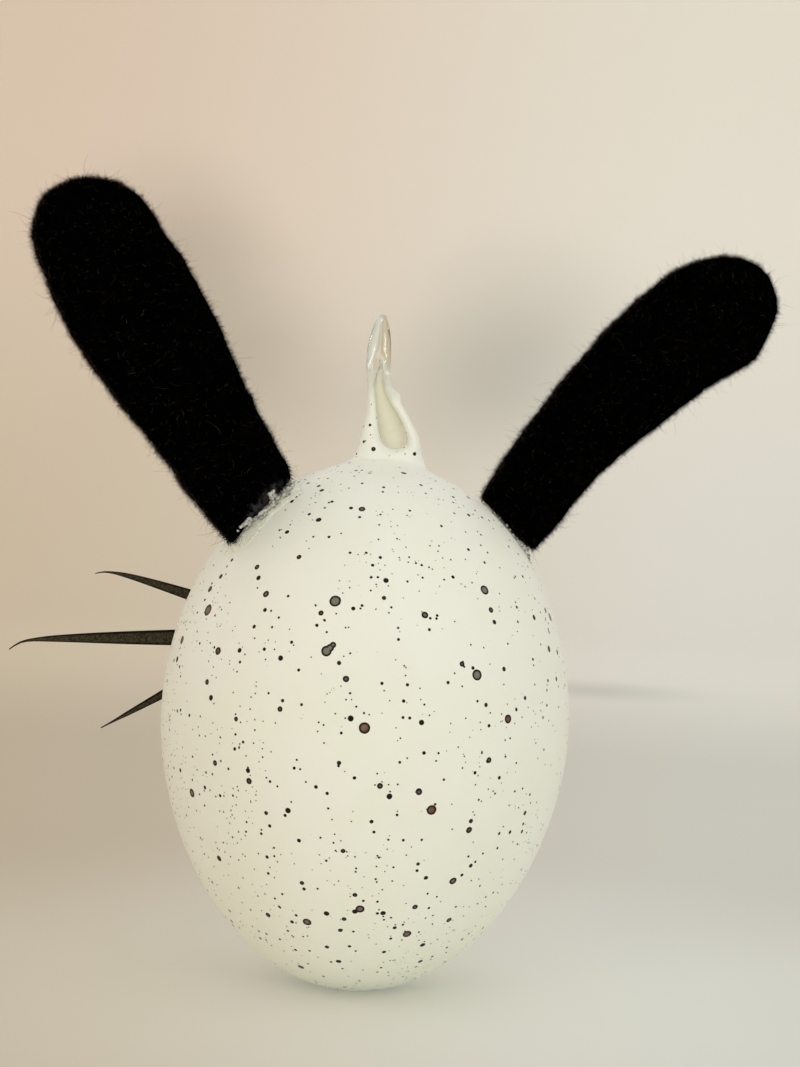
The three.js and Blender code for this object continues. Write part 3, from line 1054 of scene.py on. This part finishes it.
# share of the way along the base and reach from the felt in millimetres
LEFT_REACH = [(-0.03, 0.1), (0.04, 0.6), (0.14, 1.7), (0.27, 1.65), (0.4, 1.4), (0.55, 1.25), (0.7, 1.3),
              (0.85, 1.45), (0.97, 1.5), (1.04, 1.1), (1.09, 0.2)]
RIGHT_REACH = [(-0.06, 0.1), (0.02, 0.7), (0.12, 1.0), (0.3, 0.5), (0.5, 0.25), (0.7, 0.3), (0.9, 0.3),
               (1.02, 0.2)]
# x, y and width in the photograph's pixels
LEFT_LUMPS = [
    (240.5, 527, 3.5), (243.5, 525, 4.5), (246.5, 522.5, 5), (249.5, 519.5, 5.5), (252, 520, 4.5),
    (249, 524, 4.5), (247, 528, 4), (254.5, 519.5, 4.5), (257, 517, 4.5), (260, 514.5, 5),
    (262.5, 512, 5), (265.5, 511, 5), (266, 514, 4), (261, 518.5, 3.5), (264, 516, 4),
    (268.5, 508.5, 4.5), (271, 506, 4.5), (270.5, 501.5, 5), (273.5, 502.5, 5.5), (272, 497.5, 5.5),
    (275, 495.5, 5), (269.5, 494, 4), (273, 491.5, 4.5), (277, 499, 5), (279, 502, 4),
    (276, 502.5, 4.5), (280, 496.5, 5), (282.5, 492.5, 5.5), (284.5, 490, 5.5), (287, 488, 5.5),
    (288.5, 489, 5), (283, 495.5, 5), (286, 494.5, 5), (289, 493, 4.5), (291.5, 487, 4.5),
    (293, 484.5, 4), (294.5, 482, 3), (238, 531, 3), (244, 529.5, 3.5), (274, 506, 4),
]
RIGHT_LUMPS = [
    (493.5, 513, 3.5), (496, 515.5, 3), (499.5, 518, 3.5), (503, 522, 2.5), (506.5, 525.5, 3),
    (510, 530, 2.5), (513, 535, 3), (515.5, 539, 3.5), (518.5, 542.5, 4), (521.5, 545.5, 4.5),
    (524.5, 549, 5), (527, 552.5, 5), (528.5, 556, 4.5), (529.5, 559.5, 3.5), (530.5, 563, 2.5),
    (528, 548.5, 4),
]


def closed_sheet(name, lines):
    """A closed skin from lines of pairs of places, low and high. Along its border both are one."""
    bm = bmesh.new()
    low = [[bm.verts.new(pair[0]) for pair in line] for line in lines]
    high = []
    for number, line in enumerate(lines):
        inside = 0 < number < len(lines) - 1
        last = len(line) - 1
        high.append([
            bm.verts.new(pair[1]) if inside and 0 < column < last else low[number][column]
            for column, pair in enumerate(line)
        ])
    for sheet in (low, high):
        for first, second in zip(sheet, sheet[1:]):
            for column in range(len(first) - 1):
                bm.faces.new((first[column], first[column + 1], second[column + 1], second[column]))
    return make_object(name, bm)


def glue_skirt(name, outline, turn, offset, near_side, reaches, seed):
    """A thin skirt of glue on the glass round an ear's base."""
    outer = Vector(outline[0]) * MM
    inner = Vector(outline[-1]) * MM
    place_ear = Matrix.Rotation(turn, 3, "Z")
    shares, widths = zip(*reaches)
    lines = []
    for step in range(SKIRT_STEPS + 1):
        share = shares[0] + (shares[-1] - shares[0]) * step / SKIRT_STEPS
        edge = outer.lerp(inner, share)
        to_end = min(share - shares[0], shares[-1] - share)
        fullness = min(1, to_end / SKIRT_FADE)
        line = []
        for column in range(-SKIRT_COLUMNS, SKIRT_COLUMNS + 1):
            part = column / SKIRT_COLUMNS
            wave = noise.noise(Vector((share * 11, seed, 3 if part > 0 else 8))) * SKIRT_WAVE
            reach = np.interp(share, shares, widths) if part > 0 else FAR_REACH * fullness
            reach += wave * fullness
            half = FELT_THICKNESS / 2 * fullness + max(LEAST_REACH, reach) * MM
            spot = onto_egg(place_ear @ Vector((edge.x, offset + near_side * part * half, edge.y)))
            out = egg_normal(spot)
            height = SKIRT_RIM + SKIRT_SWELL * (1 - abs(part)) ** 2 * fullness
            height += noise.noise(spot / (0.9 * MM)) * SKIRT_RELIEF
            line.append((spot - out * SKIRT_SUNK * MM, spot + out * height * MM))
        lines.append(line)
    skirt = closed_sheet(name, lines)
    add_modifier(skirt, "SUBSURF", levels=1, render_levels=1)
    return skirt


def glue_lumps(name, outline, turn, offset, near_side, grounds, pixels, seed):
    """Lumps of glue at an ear's base: at listed places on the side in view and by chance on the other."""
    chance = np.random.default_rng(seed)
    place_ear = Matrix.Rotation(turn, 3, "Z")
    out_of_felt = place_ear @ Vector((0, near_side, 0))
    felt_face = place_ear @ Vector((0, offset, 0)) + out_of_felt * FELT_THICKNESS / 2
    balls = []
    for x, y, width in pixels:
        ray = sight_line(x, y)
        hits = [(ground.ray_cast(camera_place, ray)[3], rise) for ground, rise in grounds]
        hits = [hit for hit in hits if hit[0] is not None]
        to_plane = (felt_face - camera_place).dot(out_of_felt) / ray.dot(out_of_felt)
        reach, rise = min(hits) if hits else (to_plane, ON_FELT)
        radius = width / 2 / PIXELS_PER_MM * MM
        for share in (1, SECOND_BALL):
            balls.append(ball(camera_place + ray * (reach - rise * share), radius))
    outer = Vector(outline[0]) * MM
    inner = Vector(outline[-1]) * MM
    for lump in range(FAR_LUMPS):
        edge = outer.lerp(inner, 0.05 + 0.9 * (lump + chance.uniform(-0.4, 0.4)) / FAR_LUMPS)
        y = offset - near_side * (FELT_THICKNESS / 2 + 0.2 * MM)
        spot = onto_egg(place_ear @ Vector((edge.x, y, edge.y)))
        spot += egg_normal(spot) * chance.uniform(0.1, 0.9) * MM
        balls.append(ball(spot, chance.uniform(0.35, 0.75) * MM))
    return melt(name, balls)


# %% [markdown]
# Cooled hot glue is milky, and on the white coat a thin skirt of it hardly differs from the coat. It
# is only a little darker and greener, with a soft gloss, and some black fibres are stuck to it.

# %% The glue's finish
SKIRT_PALE = (0.87, 0.87, 0.76, 1)
SKIRT_GREENISH = (0.74, 0.755, 0.63, 1)
LUMP_WHITE = (0.60, 0.605, 0.54, 1)
LUMP_GREY = (0.20, 0.205, 0.185, 1)
# distance off the skirt, count, length, width, lift, curl and pieces
STUCK = [(0.1, 60, (0.7, 2.2), 0.022, (0.0, 0.15), 4.0, 5)]


def glue_finish(name, first, second):
    material, shader, place = begin_finish(name)
    cloud = place.grain(2.4, 3.0)
    set_sockets(shader, {
        "Base Color": cloud.step(0.38, 0.62).blend(first, second),
        "Roughness": 0.26 + cloud * 0.2,
        "Normal": bump(place.grain(5.0, 2.0), 0.03),
        "IOR": 1.48,
    })
    return material


skirt_glue = glue_finish("skirt_glue", SKIRT_PALE, SKIRT_GREENISH)
lump_glue = glue_finish("lump_glue", LUMP_WHITE, LUMP_GREY)
left_skirt = glue_skirt("left_ear_skirt", LEFT_EAR, LEFT_EAR_TURN, LEFT_EAR_OFFSET, 1, LEFT_REACH, 1)
right_skirt = glue_skirt("right_ear_skirt", RIGHT_EAR, RIGHT_EAR_TURN, 0, -1, RIGHT_REACH, 2)
left_grounds = [(left_tree, ON_FELT), (egg_tree, ON_GLASS), (tree_of(left_skirt), ON_GLASS)]
right_grounds = [(right_tree, ON_FELT), (egg_tree, ON_GLASS), (tree_of(right_skirt), ON_GLASS)]
left_lumps = glue_lumps("left_ear_lumps", LEFT_EAR, LEFT_EAR_TURN, LEFT_EAR_OFFSET, 1, left_grounds,
                        LEFT_LUMPS, 21)
right_lumps = glue_lumps("right_ear_lumps", RIGHT_EAR, RIGHT_EAR_TURN, 0, -1, right_grounds,
                         RIGHT_LUMPS, 22)
for number, (side, skirt, lumps) in enumerate((("left", left_skirt, left_lumps),
                                               ("right", right_skirt, right_lumps))):
    chance = np.random.default_rng(41 + number)
    stuck_fibres = strewn(f"{side}_ear_stuck_fibres", skirt, STUCK, chance)
    dress(lumps, lump_glue, "hot_glue", f"{side}_ear_glue")
    dress(skirt, skirt_glue, "hot_glue")
    dress(stuck_fibres, fibre, "black_felt")

# %% [markdown]
# ## The whiskers
# Three strips of black card, pointed at both ends, cross on the face and stand out on either side.
# They lie in the plane that touches the egg at the nose. Each is drawn as a line with a width that
# shrinks towards its ends, made a solid as thick as the card, and the corners are rounded off.

# %% The plane of the face
FACE_TURN = radians(116)
NOSE_Z = 51 * MM
face_out = Vector((cos(FACE_TURN), sin(FACE_TURN), 0))
nose_height = (NOSE_Z - WIDEST_Z) / ABOVE_WIDEST
nose_radius = EGG_RADIUS * sqrt(1 - nose_height ** TOP_POWER)
nose = face_out * nose_radius + Vector((0, 0, NOSE_Z))
out_of_glass = egg_normal(nose)
to_side = Vector((0, 0, 1)).cross(face_out)
up_glass = out_of_glass.cross(to_side)
face_plane = Matrix((to_side, up_glass, out_of_glass)).transposed().to_4x4()
face_plane.translation = nose

# %% Strips of card
# The right half of each centre line: distances to the side and up from the nose
RISING = [(9.3, 3.3), (18.0, 5.9), (25.3, 7.9), (29.6, 8.9), (32.3, 9.2), (33.9, 8.9)]
FALLING = [(10.1, -5.3), (20.1, -11.2), (26.1, -14.7), (29.6, -16.7)]
LEVEL = [(10, -0.9), (20.2, -1.1), (34.8, -1.4), (41.8, -1.7), (44.8, -2.2), (46.6, -3.4)]
CARD_THICKNESS = 0.4 * MM
CARD_GAP = 0.3 * MM
CARD_ROUNDING = 0.03 * MM
STRIP_STEPS = 90
TAPER_POWER = 2.2
TIP_SHARE = 0.14
TIP_POWER = 0.5
TIP_HALF_WIDTH = 0.02


def mirrored(pairs):
    return [(-x, y) for x, y in reversed(pairs)]


def evenly(line, count):
    """Points a set share of the way along a line, with the line's direction at each."""
    lengths = np.cumsum([0] + [(end - start).length for start, end in zip(line, line[1:])])
    for step in range(count + 1):
        target = lengths[-1] * step / count
        low = min(int(np.searchsorted(lengths, target, side="right")) - 1, len(line) - 2)
        share = (target - lengths[low]) / (lengths[low + 1] - lengths[low])
        direction = (line[low + 1] - line[low]).normalized()
        yield line[low].lerp(line[low + 1], share), direction


def card_strip(name, layer, width, centre_line):
    """A strip pointed at both ends, in its layer over the nose."""
    line = curve_through([Vector(pair) * MM for pair in centre_line], 10)
    bottom = CARD_GAP + layer * (CARD_THICKNESS + CARD_GAP)
    bm = bmesh.new()
    from_middle = bm.verts.layers.float.new("from_middle")
    left = []
    right = []
    for step, (point, direction) in enumerate(evenly(line, STRIP_STEPS)):
        reach = abs(step / STRIP_STEPS * 2 - 1)
        sharpness = min(1, (1 - reach) / TIP_SHARE) ** TIP_POWER
        half = (width / 2 * (1 - reach ** TAPER_POWER) * sharpness + TIP_HALF_WIDTH) * MM
        across = Vector((-direction.y, direction.x)) * half
        left.append(bm.verts.new((*(point + across), bottom)))
        right.append(bm.verts.new((*(point - across), bottom)))
        left[-1][from_middle] = 1
        right[-1][from_middle] = -1
    for step in range(STRIP_STEPS):
        bm.faces.new((left[step], right[step], right[step + 1], left[step + 1]))
    top = bmesh.ops.extrude_face_region(bm, geom=bm.faces[:])["geom"]
    raised = [part for part in top if isinstance(part, bmesh.types.BMVert)]
    bmesh.ops.translate(bm, verts=raised, vec=(0, 0, CARD_THICKNESS))
    bmesh.ops.recalc_face_normals(bm, faces=bm.faces)
    sharp = [edge for edge in bm.edges if edge.calc_face_angle() > radians(50)]
    bmesh.ops.bevel(bm, geom=sharp, offset=CARD_ROUNDING, segments=2, profile=0.5, affect="EDGES",
                    material=-1)
    bmesh.ops.transform(bm, matrix=face_plane, verts=bm.verts)
    return make_object(name, bm)


# %% [markdown]
# The card is black with paler flecks of pulp. Its cut edges are darker, which the distance from the
# middle line tells: it was kept at each vertex while the strip was drawn.

# %% The card's finish
CARD_DARK = (0.012, 0.010, 0.005, 1)
CARD_PALE = (0.088, 0.077, 0.050, 1)
CARD_EDGE = (0.006, 0.004, 0.002, 1)


def black_card():
    material, shader, place = begin_finish("black_card")
    pulp = place.grain(2.6, 4.0, 0.8)
    fleck = place.grain(7.0, 2.0)
    tone = (pulp * 0.6 + fleck * 0.4).step(0.40, 0.60)
    from_middle = place.node("Attribute", {"attribute_name": "from_middle"}, {}, "Fac")
    edge = from_middle.maths("ABSOLUTE", from_middle).step(0.55, 0.90)
    set_sockets(shader, {
        "Base Color": edge.blend(tone.blend(CARD_DARK, CARD_PALE), CARD_EDGE),
        "Roughness": 0.78 + pulp * 0.12,
        "Normal": bump(fleck, 0.03),
        "Specular IOR Level": 0.1,
    })
    return material


card = black_card()
STRIPS = [
    ("middle_whisker", 0, 2.9, [*mirrored(LEVEL), (0, -0.6), *LEVEL]),
    ("upper_whisker", 1, 2.2, [*mirrored(FALLING), (0, 0.5), *RISING]),
    ("lower_whisker", 2, 2.2, [*mirrored(RISING), (0, 0.5), *FALLING]),
]
for node, layer, width, centre_line in STRIPS:
    strip = card_strip(node + "_card", layer, width, centre_line)
    dress(strip, card, "black_card", node)

# %% [markdown]
# A dab of the same glue holds the three strips where they cross. It can't be seen in the photograph,
# because it is on the far side, so it is only a plain low lump that reaches over the strips.

# %% The dab on the nose
DAB_BALLS = 30
dab_chance = np.random.default_rng(31)
dab = []
for number in range(DAB_BALLS):
    turn = dab_chance.uniform(0, tau)
    out = dab_chance.uniform(0, 1) ** 0.5
    flat_place = Vector((3.6 * cos(turn) * out, 2.9 * sin(turn) * out, 1.9 - 1.7 * out)) * MM
    dab.append(ball(face_plane @ flat_place, dab_chance.uniform(0.8, 1.3) * MM, out_of_glass, 0.8))
dress(melt("whisker_dab", dab), lump_glue, "hot_glue", "whisker_glue")

# %% [markdown]
# ## The studio
# The photograph was taken against a pale warm wall in soft light from the viewer's side, so the
# shading is almost flat. A round cove stands all about the object, because it is also looked at from
# behind: a level floor that turns up into a wall.

# %% The floor and the wall
COVE_RADIUS = 1300 * MM
COVE_BEND = 450 * MM
COVE_HEIGHT = 520 * MM
COVE_SIDES = 96
BEND_STEPS = 16

cove = bmesh.new()
profile = [cove.verts.new((0, 0, 0)), cove.verts.new((COVE_RADIUS - COVE_BEND, 0, 0))]
for step in range(1, BEND_STEPS + 1):
    angle = pi / 2 * step / BEND_STEPS
    out = COVE_RADIUS - COVE_BEND + COVE_BEND * sin(angle)
    profile.append(cove.verts.new((out, 0, COVE_BEND * (1 - cos(angle)))))
profile.append(cove.verts.new((COVE_RADIUS, 0, COVE_HEIGHT)))
edges = [cove.edges.new(pair) for pair in zip(profile, profile[1:])]
bmesh.ops.spin(cove, geom=profile + edges, cent=(0, 0, 0), axis=(0, 0, 1), angle=tau, steps=COVE_SIDES,
               use_merge=True)
studio = make_object("studio_cove", cove)
studio.data.flip_normals()

# %% [markdown]
# The wall is warmer on the left and cooler on the right as the camera sees it, and paler higher up.
# In the room the wall stood close behind the ears, which shade it softly, so a few large soft spots are
# painted on the cove there and add up to one painted shade. The floor round the egg glows faintly, though
# it is no lamp: this is painted light, and it keeps the contact shadow weak.

# %% The paint of the wall
WARM_LOW = (0.625, 0.535, 0.41, 1)
COOL_LOW = (0.74, 0.735, 0.685, 1)
WARM_HIGH = (0.735, 0.61, 0.505, 1)
COOL_HIGH = (0.81, 0.785, 0.715, 1)
# Painted light: the faint glow of the floor round the egg.
PAINTED_FLOOR_GLOW = (0.125, 0.145, 0.14, 1)
SHADE_TINT = (0.68, 0.70, 0.70, 1)
PAINTED_GLOW_RADIUS = 150.0
PALE_FROM = 20.0
PALE_FULL = 300.0
# x, y and width in the photograph's pixels
WALL_SHADES = [
    (175, 230, 260), (210, 300, 300), (250, 380, 320), (480, 400, 330), (530, 330, 320), (590, 690, 300),
]
SHADE_SHARE = 0.55


def painted_wall():
    material, shader, place = begin_finish("painted_wall")
    parts = place.node("SeparateXYZ", {}, {"Vector": place}, "X")
    depth = (parts.also("Y") + CAMERA_DISTANCE / MM).most(CAMERA_DISTANCE / MM)
    cool = (parts / depth).step(-0.17, 0.17)
    high = parts.also("Z").step(PALE_FROM, PALE_FULL)
    paint = cool.blend(high.blend(WARM_LOW, WARM_HIGH), high.blend(COOL_LOW, COOL_HIGH))
    shade = parts * 0
    for x, y, width in WALL_SHADES:
        spot, normal, face, distance = studio_tree.ray_cast(camera_place, sight_line(x, y))
        radius = width / 2 * distance / focal_pixels / MM
        away = place.vector("DISTANCE", tuple(spot / MM), "Value")
        shade = shade + away.step(radius, 0) * SHADE_SHARE
    shaded = shade.least(1.0).blend((1, 1, 1, 1), SHADE_TINT)
    # Painted light round the egg, which weakens its contact shadow.
    painted_glow_share = place.vector("LENGTH", (0, 0, 0), "Value").step(PAINTED_GLOW_RADIUS, 0)
    set_sockets(shader, {
        "Base Color": paint.vector("MULTIPLY", shaded),
        "Roughness": 0.9,
        "Specular IOR Level": 0.2,
        "Emission Color": painted_glow_share.blend((0, 0, 0, 1), PAINTED_FLOOR_GLOW),
        "Emission Strength": 1.0,
    })
    return material


studio_tree = tree_of(studio)
studio.data.materials.append(painted_wall())


# %% [markdown]
# Two soft windows behind the camera and a low light between them light the egg, one lamp lights the
# wall, and a bright sky fills the shadows. Glass mirrors every lamp, but in the photograph only small
# glints show on the loop. So these lamps are hidden from reflections, and a small one stands at
# either side for the glints.

# %% The lights
def add_light(name, place, aim, size, watts, colour):
    """A square light that faces the aim."""
    light = bpy.data.lights.new(name, "AREA")
    light.shape = "SQUARE"
    light.size = size
    light.energy = watts
    light.color = colour
    lamp = bpy.data.objects.new(name, light)
    lamp.location = place
    lamp.rotation_euler = (lamp.location - aim).to_track_quat("Z", "Y").to_euler()
    lamp.visible_camera = False
    bpy.context.scene.collection.objects.link(lamp)
    return lamp


large_lamps = [
    add_light("warm_window", (-0.75, -0.85, 0.15), EGG_CENTRE, 0.30, 2.65, (1.0, 0.98, 0.92)),
    add_light("cool_window", (0.75, -0.85, 0.15), EGG_CENTRE, 0.30, 2.2, (0.94, 1.0, 0.99)),
    add_light("low_fill", (0.05, -0.95, 0.07), EGG_CENTRE, 0.12, 0.8, (0.93, 1.0, 0.99)),
    add_light("wall_lamp", (0.0, 0.55, 0.62), Vector((0, 1.3, 0.33)), 0.6, 1.4, (1.0, 0.98, 0.95)),
]
for lamp in large_lamps:
    lamp.visible_glossy = False
add_light("left_glint", (-0.90, 0.30, 0.32), EGG_CENTRE, 0.06, 0.2, (1.0, 0.98, 0.95))
add_light("right_glint", (0.92, 0.25, 0.32), EGG_CENTRE, 0.05, 0.12, (1.0, 0.98, 0.95))

world = bpy.data.worlds.new("studio_sky")
world.use_nodes = True
sky = world.node_tree.nodes["Background"]
sky.inputs["Color"].default_value = (1.0, 0.98, 0.94, 1)
sky.inputs["Strength"].default_value = 0.765
bpy.context.scene.world = world
bpy.context.scene.view_settings.view_transform = "Standard"
